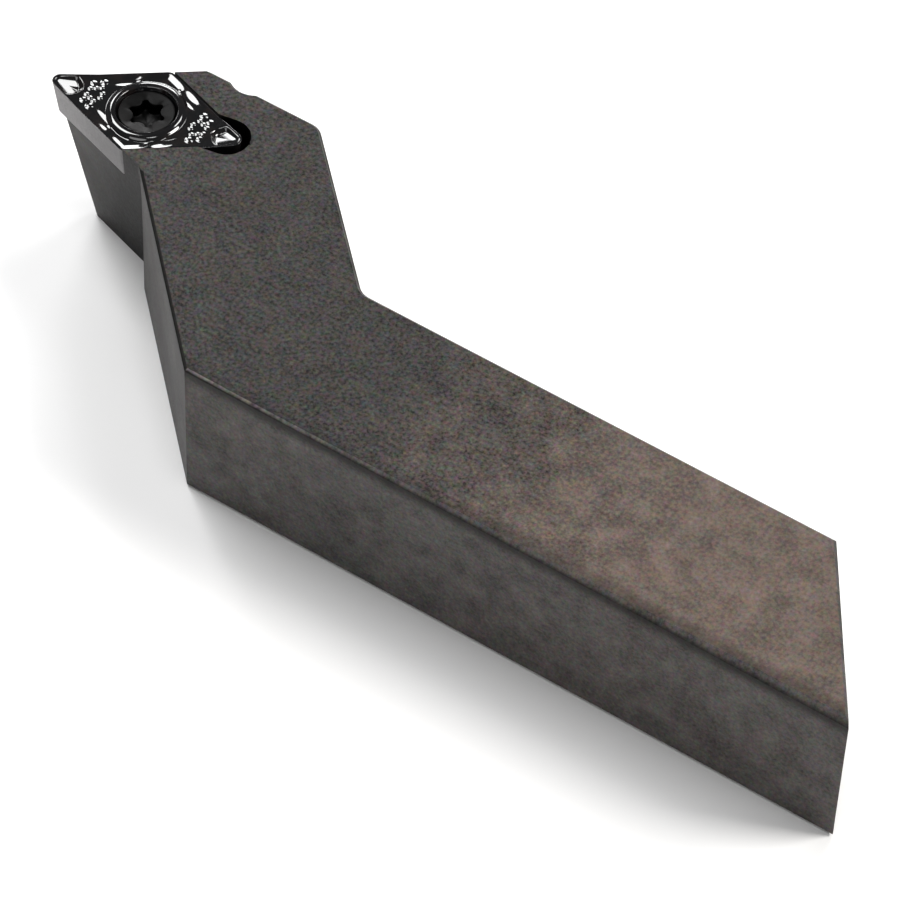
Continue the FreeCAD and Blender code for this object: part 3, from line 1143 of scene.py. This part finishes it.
@dataclass
class Studio:
    """Floor, lights, surroundings and camera.

    The camera looks along a line that is turned from the +Y axis and tipped below the horizon.

    Args:
        turn: the camera's turn in degrees.
        tip: its tip.
        roll: its turn about its own line of sight.
        across: place of the frame's origin to the right of that line, millimetres.
        down: its place below the line.
        away: its distance from the camera along the line.
        focal: focal length in widths of one picture point.
        frame_width: width of the picture in points.
        sensor: width of the camera's sensor, millimetres.
        floor_side: side of the floor, metres.
        floor_lift: height of the floor above the tool's underside, millimetres.
        sky: brightness of the surroundings.
        lights: the lights.
    """

    turn: float = 31.602
    tip: float = 50.825
    roll: float = -2.377
    across: float = 4.481
    down: float = 10.413
    away: float = 436.826
    focal: float = 4988.822
    frame_width: float = 900.0
    sensor: float = 36.0
    floor_side: float = 6.0
    floor_lift: float = 0.02
    sky: float = 0.12
    lights: list[Softbox] = field(
        default_factory=lambda: [
            Softbox("left_high", (-0.50, 0.16, 0.85), 11.0, 2.2),
            Softbox("back_low", (-0.45, 0.81, 0.37), 9.0, 1.3),
            Softbox("left_back", (-0.66, 0.47, 0.59), 6.0, 0.6),
            Softbox("back_high", (0.02, 0.60, 0.80), 6.0, 0.6),
            Softbox("overhead", (0.19, -0.09, 0.976), 6.0, 0.6),
            Softbox("front_fill", (0.2, -0.95, 0.24), 20.0, 1.4),
            Softbox("right_box", (0.66, 0.35, 0.66), 10.0, 3.2, (1.0, 0.98, 0.95)),
        ]
    )

    def build_floor(self) -> Any:
        """Add the floor, a hair above the tool's underside so that the two faces don't coincide.

        Returns:
            The floor.
        """
        half, lift = self.floor_side / 2, self.floor_lift * MM
        corners = [(-half, -half, lift), (half, -half, lift), (half, half, lift), (-half, half, lift)]
        mesh = bpy.data.meshes.new("floor")
        mesh.from_pydata(corners, [], [(0, 1, 2, 3)])
        mesh.materials.append(PaleFloor().material())
        floor = bpy.data.objects.new("floor", mesh)
        bpy.context.scene.collection.objects.link(floor)
        return floor

    def build_sky(self) -> None:
        """Surround the scene with even, dim white light."""
        world = bpy.data.worlds.new("surroundings")
        world.use_nodes = True
        back = world.node_tree.nodes["Background"]
        back.inputs["Color"].default_value = (1.0, 1.0, 1.0, 1.0)
        back.inputs["Strength"].default_value = self.sky
        bpy.context.scene.world = world

    def build_camera(self) -> Any:
        """Add the camera.

        Returns:
            The camera, set as the scene's own.
        """
        a, e, r = radians(self.turn), radians(self.tip), radians(self.roll)
        level = Vector((cos(a), sin(a), 0.0))
        ahead = Vector((-sin(a) * cos(e), cos(a) * cos(e), -sin(e)))
        below = ahead.cross(level)
        right = level * cos(r) + below * sin(r)
        lower = below * cos(r) - level * sin(r)
        place = -(right * self.across + lower * self.down + ahead * self.away) * MM
        lens = bpy.data.cameras.new("camera")
        lens.sensor_width = self.sensor
        lens.lens = self.focal / self.frame_width * self.sensor
        lens.clip_start = 0.01
        lens.clip_end = 20.0
        camera = bpy.data.objects.new("camera", lens)
        columns = Matrix((right, -lower, -ahead)).transposed()
        camera.matrix_world = Matrix.Translation(place) @ columns.to_4x4()
        bpy.context.scene.collection.objects.link(camera)
        bpy.context.scene.camera = camera
        return camera

    def build(self) -> None:
        """Build all of it."""
        self.build_floor()
        self.build_sky()
        for light in self.lights:
            light.build()
        self.build_camera()
        bpy.context.scene.view_settings.view_transform = "Standard"
        LOG.info("studio: %d lights", len(self.lights))


def main() -> None:
    """Load the frame, dress it, build the studio and keep the sizes."""
    logging.basicConfig(level=logging.INFO, format="%(message)s")
    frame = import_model()
    ToolBody().dress(frame["nodes"])
    CuttingInsert().build()
    ClampScrew().build()
    Studio().build()


if __name__ == "__main__":
    main()
